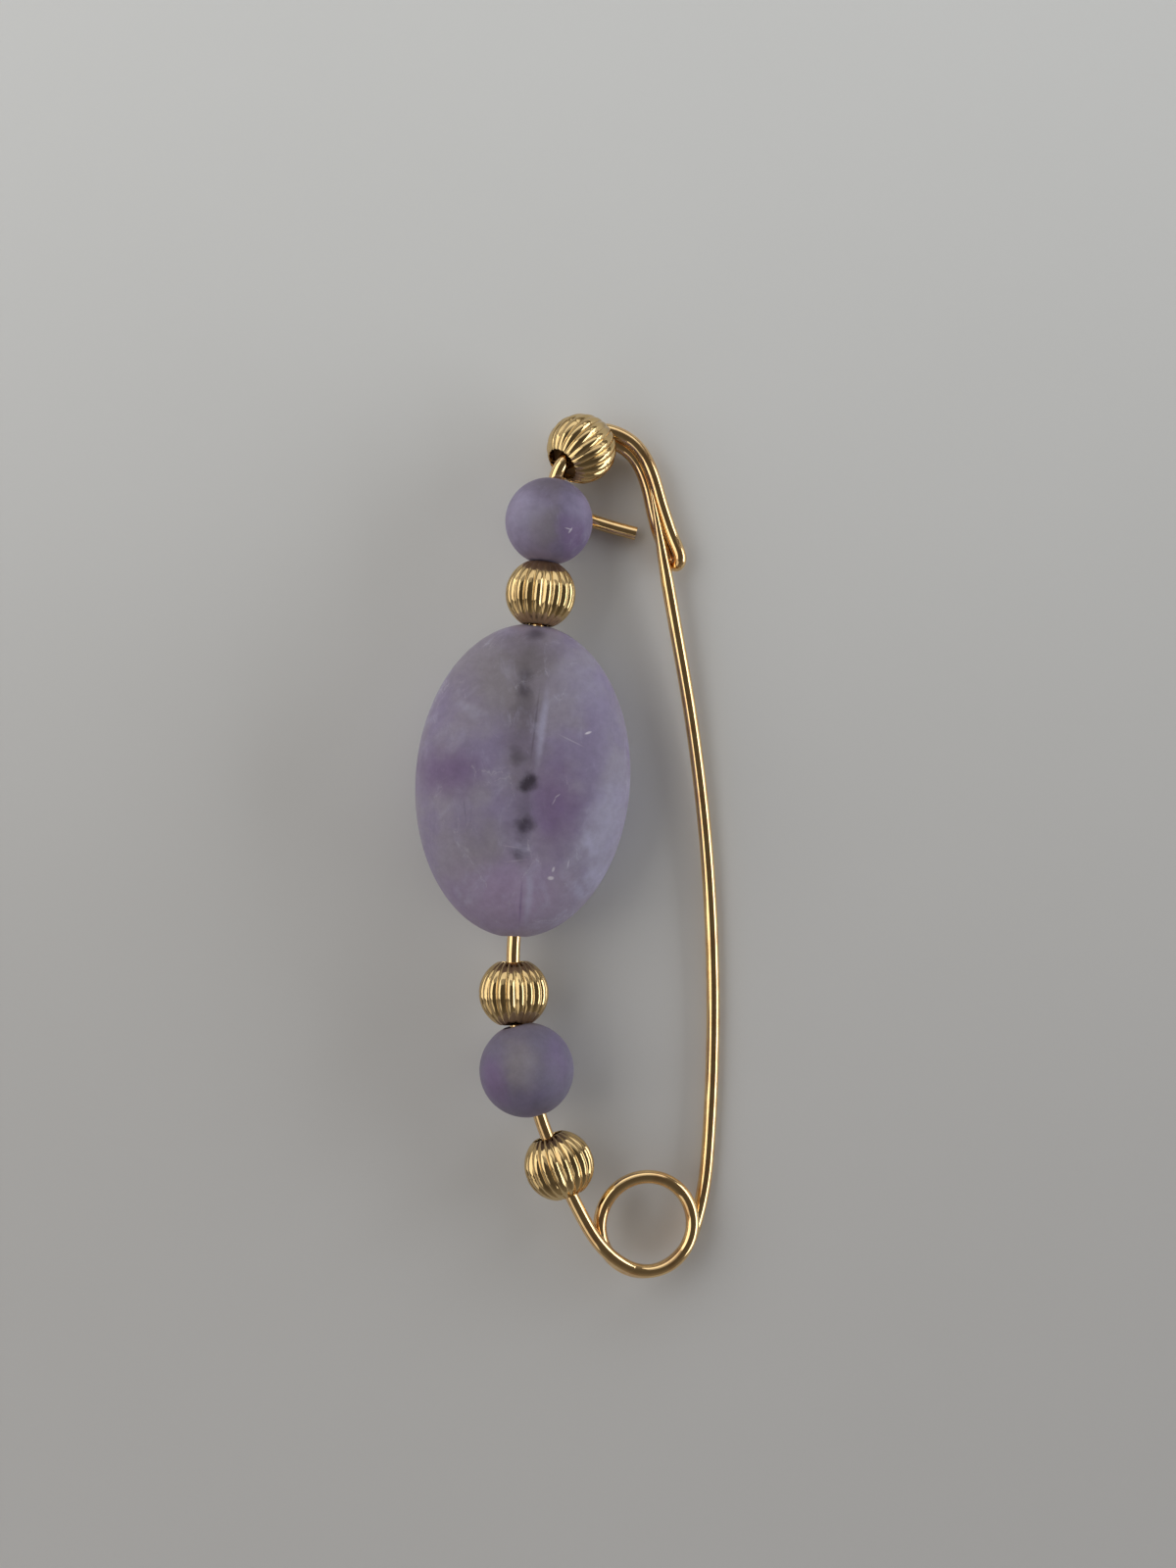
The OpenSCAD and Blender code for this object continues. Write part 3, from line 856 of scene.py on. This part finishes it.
@dataclass
class BentWire:
    """The gold wire: bar, coil, needle, hook and tail."""

    pin: PinPlane
    spacing: float = 0.12
    outer_grip: tuple[tuple[float, float, float], ...] = (
        (0.05, 0.60, -0.36),
        (0.22, 0.68, -0.36),
        (0.42, 0.82, -0.32),
        (0.68, 1.00, -0.22),
        (0.88, 1.22, -0.06),
        (1.00, 1.30, 0.04),
    )
    inner_grip: tuple[tuple[float, float, float], ...] = (
        (0.05, 0.20, -1.28),
        (0.22, 0.18, -1.24),
        (0.42, 0.22, -1.18),
        (0.66, 0.36, -1.12),
        (0.86, 0.60, -0.98),
        (1.00, 0.72, -0.90),
    )
    shoulder_rows: tuple[tuple[float, float], ...] = (
        (0.20, 0.13),
        (0.40, 0.19),
        (0.60, 0.17),
        (0.80, 0.10),
    )
    fold_steps: int = 24
    tuck_turns: tuple[float, ...] = (9, 6, 3)
    tuck_share: float = 0.9
    tuck_points: int = 3
    neck_ease: float = 0.7
    neck_lift: float = 0.15
    coil_steps: int = 220
    exit_steps: int = 40
    bow_steps: int = 240
    straight_steps: int = 90
    point_power: float = 0.6
    tip_r: float = 0.02
    bend_reach: tuple[float, float] = (1.9, 2.1)
    tail_mouth: tuple[float, float, float] = (-0.15, -0.1, -0.75)
    tail_turns: tuple[tuple[float, float, float], ...] = (
        (15, -24, 1.16),
        (27, -42, 1.09),
        (48.6, -44.6, 1.042),
        (78.5, -43.3, 1.04),
    )
    stub_way: tuple[float, float] = (105, 16)
    hidden_share: float = 0.45

    def beside(self, rows: tuple[tuple[float, float, float], ...]) -> list[Vector]:
        """Places the corners of one strand of the hook beside the needle's point.

        Args:
            rows: Share of the hook's length below the point, then wire diameters
                beside and above the needle.

        Returns:
            The corners.
        """
        pin = self.pin
        side = way_of(90 - pin.point_lean)
        return [
            pin.needle_tip
            - pin.needle_axis * (down * pin.hook_l)
            + side * (out * pin.wire_d)
            + UP * (high * pin.wire_d)
            for down, out, high in rows
        ]

    def shoulder(self, start: Vector, end: Vector) -> list[Vector]:
        """Gives the corners of the bend between the top bead and the needle."""
        chord = end - start
        out = UP.cross(chord)
        return [start + chord * along + out * away for along, away in self.shoulder_rows]

    def draw(self, name: str, path: list[Vector], first: float = 1.0) -> Piece:
        """Draws one wire in the pin's plane and lays it down in the frame.

        Args:
            name: The piece's name.
            path: The wire's centre line.
            first: Share of the wire's radius at its start, where it sits in another.

        Returns:
            The piece.
        """
        piece = Piece(name)
        path = even_path(path, self.spacing)
        shares = [first + (1 - first) * k / self.tuck_points for k in range(len(path))]
        piece.sweep(path, [self.pin.wire_r * min(1, share) for share in shares])
        piece.place(self.pin.lying)
        return piece

    def front_bar(self) -> Piece:
        """Draws the wire through the six lower beads up to the top one."""
        pin = self.pin
        half = pin.way(Row.TOP) * (pin.top_bead_l / 4)
        stone_end = pin.corner(Row.UPPER_ROUND.value + 1)
        corners = [
            pin.coil_point(pin.coil_start),
            *[pin.corner(i) for i in range(Row.UPPER_ROUND.value + 1)],
            stone_end - pin.way(Row.UPPER_ROUND) * self.neck_ease,
            stone_end,
            (stone_end + pin.corner(Row.TOP.value)) / 2 + UP * self.neck_lift,
            pin.middle(Row.TOP) - half,
            pin.middle(Row.TOP),
        ]
        tucked = [pin.coil_point(pin.coil_start + turn) for turn in self.tuck_turns]
        path = [*tucked, *smooth_chain(corners)]
        return self.draw("front_bar_wire", path, self.tuck_share)

    def coil_and_needle(self) -> Piece:
        """Draws the coil, its curve to the needle, the slack bow and the point."""
        pin = self.pin
        turn = (pin.coil_end - pin.coil_start) / self.coil_steps
        path = [pin.coil_point(pin.coil_start + turn * k) for k in range(self.coil_steps)]
        path += [pin.exit_point(k / self.exit_steps) for k in range(self.exit_steps)]
        climb = Matrix.Rotation(pin.needle_tilt, 4, "X")
        flat = [pin.bow_point(k / self.bow_steps) for k in range(self.bow_steps)]
        leg = pin.needle_axis * (pin.straight_l / self.straight_steps)
        flat += [pin.bow_point(1) + leg * k for k in range(self.straight_steps + 1)]
        path += [pin.needle_root + climb @ (p - pin.needle_root) for p in flat]
        path = even_path(path, self.spacing)
        reach, radii = 0.0, [0.0]
        for a, b in zip(reversed(path[:-1]), reversed(path)):
            reach += (b - a).length
            left = min(reach / pin.point_l, 1)
            radii.append(pin.wire_r * left**self.point_power)
        radii[0] = self.tip_r
        piece = Piece("coil_and_needle_wire")
        piece.sweep(path, list(reversed(radii)))
        piece.place(pin.lying)
        return piece

    def hook(self) -> Piece:
        """Draws the doubled wire of the hook, folded back under the needle's point."""
        pin = self.pin
        axis = pin.way(Row.TOP)
        half = axis * (pin.top_bead_l / 4)
        outer_grip, inner_grip = self.beside(self.outer_grip), self.beside(self.inner_grip)
        strands = []
        for start, grip in (
            (pin.top_middle - pin.strand_offset, outer_grip),
            (pin.top_middle + pin.strand_offset, inner_grip),
        ):
            mouth = start + axis * (pin.top_bead_l / 2)
            bend = self.shoulder(mouth, grip[0])
            strands.append(smooth_chain([start, start + half, mouth, *bend, *grip]))
        middle = (outer_grip[-1] + inner_grip[-1]) / 2
        side = outer_grip[-1] - middle
        down = pin.needle_axis * -side.length
        turns = [math.pi * k / self.fold_steps for k in range(1, self.fold_steps)]
        fold = [middle + side * math.cos(turn) + down * math.sin(turn) for turn in turns]
        return self.draw("hook_wire", [*strands[0], *fold, *reversed(strands[1])])

    def below_top(self, out: float, side: float, lift: float) -> Vector:
        """Gives a place under the top bead, in millimetres out and wire diameters aside."""
        pin = self.pin
        axis = pin.way(Row.TOP)
        aside = axis.cross(UP).normalized()
        rise = aside.cross(axis)
        mouth = pin.top_middle - axis * (pin.top_bead_l / 2 + out)
        return mouth + (aside * side + rise * lift) * pin.wire_d

    def beside_round(self, heading: float, climb: float, reach: float) -> Vector:
        """Gives a place beside the upper round stone, in shares of its clear distance."""
        pin = self.pin
        clear = pin.upper_round_d / 2 + pin.wire_r + pin.bead_gap
        return pin.middle(Row.UPPER_ROUND) + way_of(heading, climb) * (clear * reach)

    def tail(self) -> Piece:
        """Draws the cut end of the wire that comes out beside the upper round stone."""
        pin = self.pin
        start = pin.top_middle + pin.strand_offset
        around = [self.beside_round(*turn) for turn in self.tail_turns]
        length = pin.upper_round_d / 2 * self.hidden_share + pin.stub_l
        corners = [
            start,
            start - pin.way(Row.TOP) * (pin.top_bead_l / 5),
            self.below_top(*self.tail_mouth),
            *around,
            around[-1] + way_of(*self.stub_way) * length,
        ]
        return self.draw("tail_wire", smooth_chain(corners))

    def build(self, finish: bpy.types.Material) -> None:
        """Builds and dresses every piece of the wire in its gold."""
        pin = self.pin
        dress(self.front_bar().to_object(), finish, ["front_bar"])
        dress(self.hook().to_object(), finish, ["hook_catch"])
        dress(self.tail().to_object(), finish, ["wire_tail"])
        needle = self.coil_and_needle().to_object()
        dress(needle, finish, ["spring_coil", "needle"], None)
        root = pin.lying @ pin.needle_root
        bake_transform(needle)


@dataclass
class RibbedBead:
    """A hollow bead of ribbed gold sheet, soldered together round its middle."""

    pin: PinPlane
    ribs: int = 20
    rib_depth: float = 0.17
    wall: float = 0.24
    rib_fade: float = 1.3
    rib_power: float = 0.9
    seam_depth: float = 0.018
    seam_w: float = 0.05
    inside_w: float = 0.1
    skin: float = 0.01
    lip: tuple[tuple[float, float], ...] = ((0.01, 0.015), (-0.005, -0.03))
    outer_steps: int = 64
    inner_steps: int = 20
    rib_steps: int = 16

    def mesh(self, name: str, matrix: Matrix, hole_d: float) -> Piece:
        """Turns the bead's wall and presses the ribs into its outside.

        Args:
            name: The piece's name.
            matrix: The bead's place in the frame.
            hole_d: Diameter of the hole in each end.

        Returns:
            The piece.
        """
        pin = self.pin
        ball_r, hole_r = pin.ribbed_d / 2, hole_d / 2
        rim = math.asin((hole_r + pin.rim_w) / ball_r)
        inner_r = ball_r - self.rib_depth - self.wall
        mouth = math.asin(hole_r / inner_r)
        outer = ball_arc(ball_r, rim, self.outer_steps)
        inner = [(r, -h) for r, h in ball_arc(inner_r, mouth, self.inner_steps)]
        top = [(hole_r + out, outer[0][1] + up) for out, up in self.lip]
        lower = [(r, -h) for r, h in top]
        piece = Piece(name)
        piece.spin([*outer, *lower, *inner, *reversed(top)], self.ribs * self.rib_steps)
        # Faces inside the wall take the second material, darkened as painted shade in the hollow.
        inside_r = inner_r + self.inside_w
        for face in piece.mesh.faces:
            face.material_index = int(face.calc_center_median().length < inside_r)
        for vert in piece.mesh.verts:
            self.press(vert, ball_r)
        piece.place(matrix)
        return piece

    def press(self, vert: bmesh.types.BMVert, ball_r: float) -> None:
        """Presses one point of the outside in, where a groove or the seam runs."""
        if abs(vert.co.length - ball_r) > self.skin:
            return
        around = math.atan2(vert.co.y, vert.co.x)
        flat = math.hypot(vert.co.x, vert.co.y)
        share = (flat / ball_r) ** self.rib_fade
        groove = 1 - abs(math.cos(around * self.ribs / 2)) ** self.rib_power
        seam = math.exp(-((vert.co.z / self.seam_w) ** 2))
        depth = self.rib_depth * groove * share + self.seam_depth * seam
        vert.co.xy *= (flat - depth) / flat

    def build(self, finish: bpy.types.Material, inside: bpy.types.Material) -> None:
        """Builds the four ribbed beads where they hang on the wire, rougher on the inside and
        darkened there with painted shade.
        """
        pin = self.pin
        hang = pin.ribbed_hole_d / 2 - pin.wire_r - pin.fit_gap
        tilt = pin.lying_tilt
        weight = Vector((math.sin(tilt), 0, -math.cos(tilt)))
        places = {
            "ribbed_bead_1": (pin.top_middle, pin.way(Row.TOP), pin.top_hole_d),
            "ribbed_bead_2": (pin.middle(Row.SECOND), pin.way(Row.SECOND), pin.ribbed_hole_d),
        }
        for index, row in ((3, Row.THIRD), (4, Row.LOWEST)):
            way = pin.way(row)
            down = (weight - way * weight.dot(way)).normalized()
            place = pin.middle(row) + down * hang
            places[f"ribbed_bead_{index}"] = (place, way, pin.ribbed_hole_d)
        for node, (middle, way, hole_d) in places.items():
            matrix = pin.lying @ Matrix.Translation(middle) @ facing(way)
            piece = self.mesh(f"{node}_fine", matrix, hole_d)
            made = dress(piece.to_object(), finish, [node])
            made.data.materials.append(inside)


@dataclass
class RoundStone:
    """A round stone drilled along the bar."""

    pin: PinPlane
    row: Row
    ball_d: float
    node: str
    flare_w: float = 0.09
    flare_l: float = 0.1
    steps: int = 72
    sides: int = 128

    def build(self, finish: bpy.types.Material) -> None:
        """Turns the stone with its drilled hole."""
        pin = self.pin
        radius, hole = self.ball_d / 2, pin.drill_d / 2
        outer = ball_arc(radius, math.asin((hole + self.flare_w) / radius), self.steps)
        throat = outer[0][1] - self.flare_l
        piece = Piece(f"{self.node}_stone")
        piece.spin([*outer, (hole, -throat), (hole, 0), (hole, throat)], self.sides)
        way = pin.way(self.row)
        piece.place(pin.lying @ Matrix.Translation(pin.middle(self.row)) @ facing(way))
        dress(piece.to_object(), finish, [self.node])


@dataclass
class OvalStone:
    """The large puffed oval stone, drilled lengthwise."""

    pin: PinPlane
    rim_power: float = 0.8
    dome_power: float = 0.9
    flat_angle: float = 76
    flat_top: float = 0.9555
    flat_power: float = 12
    segments: int = 192
    rings: int = 120
    mouth_w: float = 0.22
    mouth_l: float = 0.3
    clear_w: float = 0.9
    clear_l: float = 1
    core_r: float = 0.001
    drill_sides: int = 48
    crease: float = 28

    def dome(self, rise: float) -> float:
        """Gives the height share at a latitude, eased into the worn flat."""
        high = (math.sin(rise) / math.sin(math.radians(self.flat_angle))) ** self.dome_power
        eased = high / (1 + high**self.flat_power) ** (1 / self.flat_power)
        return eased / self.flat_top

    def body(self) -> Piece:
        """Shapes the solid stone round its own middle."""
        pin = self.pin
        piece = Piece("oval_bead_stone")
        bmesh.ops.create_uvsphere(
            piece.mesh, u_segments=self.segments, v_segments=self.rings, radius=1
        )
        for vert in piece.mesh.verts:
            rise = math.asin(max(-1, min(1, vert.co.z)))
            around = math.atan2(vert.co.y, vert.co.x)
            out = math.cos(rise) ** self.rim_power
            lift = math.copysign(self.dome(abs(rise)), rise)
            vert.co = (
                pin.oval_w / 2 * out * math.cos(around) - pin.drill_offset,
                pin.oval_l / 2 * out * math.sin(around),
                pin.oval_t / 2 * lift,
            )
        return piece

    def drill(self) -> Piece:
        """Turns the cutter of the drilled hole, flared at both mouths."""
        pin = self.pin
        hole, end = pin.drill_d / 2, pin.oval_l / 2
        upper = [
            (self.core_r, end + self.clear_l),
            (hole + self.clear_w, end + self.clear_l),
            (hole + self.mouth_w, end),
            (hole, end - self.mouth_l),
        ]
        lower = [(radius, -height) for radius, height in reversed(upper)]
        piece = Piece("oval_drill")
        piece.spin([*upper, *lower], self.drill_sides)
        piece.place(Matrix.Rotation(math.radians(90), 4, "X"))
        return piece

    def build(self, finish: bpy.types.Material) -> None:
        """Cuts the hole and lays the stone down."""
        pin = self.pin
        heading = math.radians(pin.rows[Row.OVAL.value].heading)
        matrix = (
            Matrix.Scale(MM, 4)
            @ Matrix.Translation(pin.lying_place)
            @ Matrix.Rotation(-heading, 4, "Z")
        )
        stone, cutter = self.body().to_object(), self.drill().to_object()
        cut = stone.modifiers.new("drill", "BOOLEAN")
        cut.operation, cut.object, cut.solver = "DIFFERENCE", cutter, "EXACT"
        graph = bpy.context.evaluated_depsgraph_get()
        data = bpy.data.meshes.new_from_object(stone.evaluated_get(graph))
        stone.modifiers.clear()
        stone.data = data
        bpy.data.objects.remove(cutter)
        stone.data.transform(matrix)
        stone.data.set_sharp_from_angle(angle=math.radians(self.crease))
        dress(stone, finish, ["oval_bead"])


# The studio


@dataclass(frozen=True)
class Panel:
    """A soft rectangular light that faces the pin."""

    name: str
    place: tuple[float, float, float]
    size: tuple[float, float]
    radiance: float
    colour: tuple[float, float, float]

    def build(self) -> None:
        """Makes the light and turns it towards the origin."""
        data = bpy.data.lights.new(self.name, "AREA")
        data.shape = "RECTANGLE"
        data.size, data.size_y = self.size
        data.energy = self.radiance * math.pi * self.size[0] * self.size[1]
        data.color = self.colour
        made = bpy.data.objects.new(self.name, data)
        made.location = self.place
        made.rotation_euler = (-Vector(self.place)).to_track_quat("-Z", "Y").to_euler()
        bpy.context.scene.collection.objects.link(made)


@dataclass(frozen=True)
class Studio:
    """The table, the lights and the camera above the pin."""

    pin: PinPlane
    height: float = 140.7
    focal_px: float = 2405
    picture: tuple[int, int] = (1200, 1600)
    stone_px: tuple[float, float] = (533.5, 797)
    table_r: float = 0.46
    panels: tuple[Panel, ...] = (
        Panel("warm_panel", (-0.372, 0.100, 0.322), (0.50, 0.44), 1.45, (1.0, 0.97, 0.92)),
        Panel("window", (0.58, 0.0, 0.17), (0.66, 0.26), 3.2, (0.93, 0.97, 1.0)),
        Panel("far_light", (0.0, 0.45, 0.33), (0.90, 0.50), 0.32, (0.98, 0.99, 1.0)),
        Panel("near_light", (0.0, 0.16, 0.10), (0.36, 0.08), 0.65, (0.98, 0.99, 1.0)),
        Panel("side_card", (-0.29, -0.29, 0.287), (0.30, 0.30), 0.65, (1.0, 0.97, 0.92)),
    )

    def camera(self) -> None:
        """Hangs the camera where the photograph was taken, looking straight down."""
        data = bpy.data.cameras.new("camera")
        data.sensor_width = 36
        data.lens = self.focal_px / self.picture[1] * data.sensor_width
        data.clip_start = 0.01
        made = bpy.data.objects.new("camera", data)
        scale = (self.height - self.pin.lying_place.z) / self.focal_px
        right = (self.stone_px[0] - self.picture[0] / 2) * scale
        up = (self.picture[1] / 2 - self.stone_px[1]) * scale
        stone = self.pin.lying_place
        place = Vector((stone.x - self.pin.drill_offset - right, stone.y - up, self.height))
        made.location = place * MM
        bpy.context.scene.collection.objects.link(made)
        bpy.context.scene.camera = made

    def table(self, groups: SharedGroups) -> None:
        """Lays the pale round table under the pin, its colour painted lighter and cooler towards
        +Y as painted light.
        """
        piece = Piece("table")
        bmesh.ops.create_circle(piece.mesh, cap_ends=True, segments=256, radius=self.table_r)
        made = piece.to_object()
        material, graph, shader = new_material("pale_table")
        place = place_in_mm(graph, Vector())
        grain = graph.group(groups.grain, place, Grain_per_mm=1.6, Drift_per_mm=0.02)
        # Painted light: the colour grows lighter and cooler towards +Y, standing in for more light
        # falling on that side.
        along = graph.node("ShaderNodeSeparateXYZ", {0: place}).outputs["Y"]
        far = graph.ramp(along, -30.0, 60.0, (0.0, 1.0))
        tone = graph.mix(far, (0.66, 0.66, 0.665, 1), (0.88, 0.90, 0.91, 1))
        drift = graph.mix(grain.outputs["Drift"], (0.93, 0.93, 0.92, 1), (1.0, 1.0, 1.0, 1))
        graph.feed(shader.inputs["Base Color"], graph.vector("MULTIPLY", tone, drift))
        graph.bump(shader, 0.15, 0.05, grain.outputs["Height"])
        shader.inputs["Roughness"].default_value = 0.45
        shader.inputs["Specular IOR Level"].default_value = 0.35
        made.data.materials.append(material)

    def room(self) -> None:
        """Fills the room with dim light, darkest overhead."""
        world = bpy.data.worlds.new("room")
        world.use_nodes = True
        graph = Graph(world.node_tree)
        source = graph.node("ShaderNodeTexCoord", {})
        way = graph.node("ShaderNodeSeparateXYZ", {0: source.outputs["Generated"]})
        rise = graph.ramp(way.outputs["Z"], 0.1, 0.95, (0.0, 1.0))
        tone = graph.mix(rise, (0.19, 0.175, 0.16, 1), (0.085, 0.076, 0.066, 1))
        graph.feed(world.node_tree.nodes["Background"].inputs["Color"], tone)
        bpy.context.scene.world = world

    def build(self, groups: SharedGroups) -> None:
        """Builds the whole studio."""
        self.camera()
        self.table(groups)
        for panel in self.panels:
            panel.build()
        self.room()
        bpy.context.scene.view_settings.view_transform = "Standard"


PURPLE: Colour = (0.200, 0.130, 0.270, 1)
# DARK marks thin flaws, and along each drill line it is painted shade of the hole seen through the
# stone.
DARK: Colour = (0.040, 0.030, 0.048, 1)
BROWN: Colour = (0.150, 0.128, 0.130, 1)
GREY: Colour = (0.270, 0.248, 0.265, 1)
ROSE: Colour = (0.400, 0.310, 0.470, 1)
PALE: Colour = (0.450, 0.435, 0.590, 1)
CHIP: Colour = (0.75, 0.72, 0.78, 1)

# The DARK patches on the middle line, where the drill runs, are painted shade of the hole seen
# through the stone; the other patches are the stone's own clouds, streaks and chips.
OVAL_PATCHES = (
    Patch((-0.6, 6.2), (5.5, 3.8), GREY, 0.75),
    Patch((-4.4, 0.5), (3.1, 2.1), PURPLE, 0.80),
    Patch((1.7, -1.4), (2.2, 4.2), PURPLE, 0.75),
    Patch((-0.8, -6.6), (5.5, 3.4), ROSE, 0.75),
    Patch((-2.2, -3.4), (2.6, 2.4), GREY, 0.45),
    Patch((4.6, -2.8), (1.8, 5.2), PALE, 0.60, turn=14),
    Patch((3.3, 5.6), (2.2, 2.6), PALE, 0.25),
    Patch((-0.1, 2.4), (1.7, 6.4), BROWN, 0.45, turn=3),
    # Painted shade of the drilled hole, down the middle line.
    Patch((0.1, 5.6), (0.95, 4.4), DARK, 0.30, turn=4),
    Patch((-0.1, -2.6), (0.80, 3.2), DARK, 0.30),
    Patch((0.28, -0.12), (1.00, 0.80), DARK, 0.90, core=0.25),
    Patch((-0.11, -2.5), (1.00, 0.66), DARK, 0.75),
    Patch((-0.23, -4.1), (0.95, 0.66), DARK, 0.50),
    Patch((-0.43, 1.4), (0.62, 0.80), DARK, 0.45),
    Patch((0.05, 5.1), (0.70, 0.60), DARK, 0.40),
    Patch((0.10, 6.1), (0.70, 0.52), DARK, 0.40),
    Patch((0.3, 7.4), (2.6, 1.9), BROWN, 0.50),
    Patch((0.64, 8.5), (0.85, 0.55), DARK, 0.65),
    Patch((1.02, 3.0), (0.34, 3.0), PALE, 0.80, turn=7),
    Patch((0.62, 3.2), (0.10, 2.8), DARK, 0.40, turn=7),
    Patch((0.25, -6.6), (0.34, 2.4), PALE, 0.60, turn=6),
    Patch((-0.22, -6.9), (0.12, 1.9), PURPLE, 0.60, turn=4),
    Patch((3.8, -3.6), (0.70, 0.90), PALE, 0.90),
    Patch((4.1, -5.5), (0.80, 0.75), PALE, 0.70),
    Patch((3.2, -6.4), (0.70, 0.80), PALE, 0.60),
    Patch((-3.0, 3.9), (1.30, 0.62), PALE, 0.35, turn=25),
    Patch((-3.4, -1.6), (0.05, 0.95), DARK, 0.25, turn=-6),
    Patch((2.72, 2.28), (0.06, 1.10), CHIP, 0.30, turn=-64),
    Patch((3.64, 2.75), (0.26, 0.09), CHIP, 0.85, turn=-20, core=0.4),
    Patch((1.89, -0.85), (0.28, 0.06), CHIP, 0.45, turn=-35),
    Patch((1.70, -1.15), (0.05, 0.34), CHIP, 0.35, turn=28),
    Patch((-0.7, -3.75), (0.85, 0.05), CHIP, 0.22, turn=8),
    Patch((-0.5, -4.55), (0.95, 0.05), CHIP, 0.20, turn=-6),
    Patch((1.50, -5.55), (0.24, 0.15), CHIP, 0.75, core=0.4),
    Patch((1.65, -5.05), (0.10, 0.22), CHIP, 0.60, turn=20, core=0.3),
    Patch((2.50, -4.75), (0.07, 0.40), CHIP, 0.50, turn=10),
)
UPPER_PATCHES = (
    Patch((-1.4, 0.2), (1.8, 2.4), PALE, 0.40),
    Patch((0.0, 2.0), (2.0, 1.3), BROWN, 0.50),
    Patch((-0.1, -0.2), (1.1, 1.3), PALE, 0.18),
    # Painted shade of the drilled hole seen through the stone, a dark line down the middle.
    Patch((0.25, 0.0), (0.80, 2.6), BROWN, 0.40),
    Patch((-0.2, -0.6), (1.3, 1.9), GREY, 0.50),
    Patch((1.5, -1.0), (1.5, 1.9), PURPLE, 0.80),
    Patch((1.32, -0.66), (0.07, 0.26), CHIP, 0.65, turn=30, core=0.3),
    Patch((1.20, -0.58), (0.28, 0.05), CHIP, 0.55, turn=8, core=0.3),
)
LOWER_PATCHES = (
    Patch((0.0, 0.7), (1.7, 2.2), GREY, 0.80),
    Patch((0.3, 0.2), (1.0, 1.3), PALE, 0.12),
    Patch((-1.8, 0.0), (1.2, 2.2), PURPLE, 0.60),
    Patch((1.9, 0.2), (1.1, 2.2), PURPLE, 0.35),
    # Painted shade of the drilled hole seen through the stone.
    Patch((0.3, -1.9), (0.6, 1.3), DARK, 0.15),
)


def stone_finishes(pin: PinPlane) -> dict[str, StoneFinish]:
    """Gives each stone its own finish, by the stones' node names."""
    lavender: Colour = (0.290, 0.250, 0.385, 1)
    haze: Colour = (0.330, 0.300, 0.385, 1)
    blue: Colour = (0.205, 0.178, 0.280, 1)
    slate: Colour = (0.195, 0.178, 0.250, 1)
    return {
        "oval_bead": StoneFinish(
            "oval_quartz", pin.lying_place * MM, 0, lavender, haze, OVAL_PATCHES
        ),
        "round_bead_upper": StoneFinish(
            "upper_quartz",
            pin.lying @ pin.middle(Row.UPPER_ROUND),
            4,
            lavender,
            blue,
            UPPER_PATCHES,
            wisps=0.3,
            cracks=0.0,
        ),
        "round_bead_lower": StoneFinish(
            "lower_quartz",
            pin.lying @ pin.middle(Row.LOWER_ROUND),
            -15,
            blue,
            slate,
            LOWER_PATCHES,
            wisps=0.1,
            cracks=0.0,
        ),
    }


def main() -> None:
    """Builds the whole scene, piece by piece."""
    logging.basicConfig(level=logging.INFO, format="%(name)s: %(message)s")
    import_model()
    pin = PinPlane()
    groups = SharedGroups(cloud_group(), grain_group(), wisp_group())
    Studio(pin).build(groups)
    stones = stone_finishes(pin)
    BentWire(pin).build(WIRE_GOLD.build(groups))
    RibbedBead(pin).build(BEAD_GOLD.build(groups), BEAD_INSIDE_SHADED.build(groups))
    for node, row, ball_d in (
        ("round_bead_upper", Row.UPPER_ROUND, pin.upper_round_d),
        ("round_bead_lower", Row.LOWER_ROUND, pin.lower_round_d),
    ):
        RoundStone(pin, row, ball_d, node).build(stones[node].build(groups))
    OvalStone(pin).build(stones["oval_bead"].build(groups))


if __name__ == "__main__":
    main()
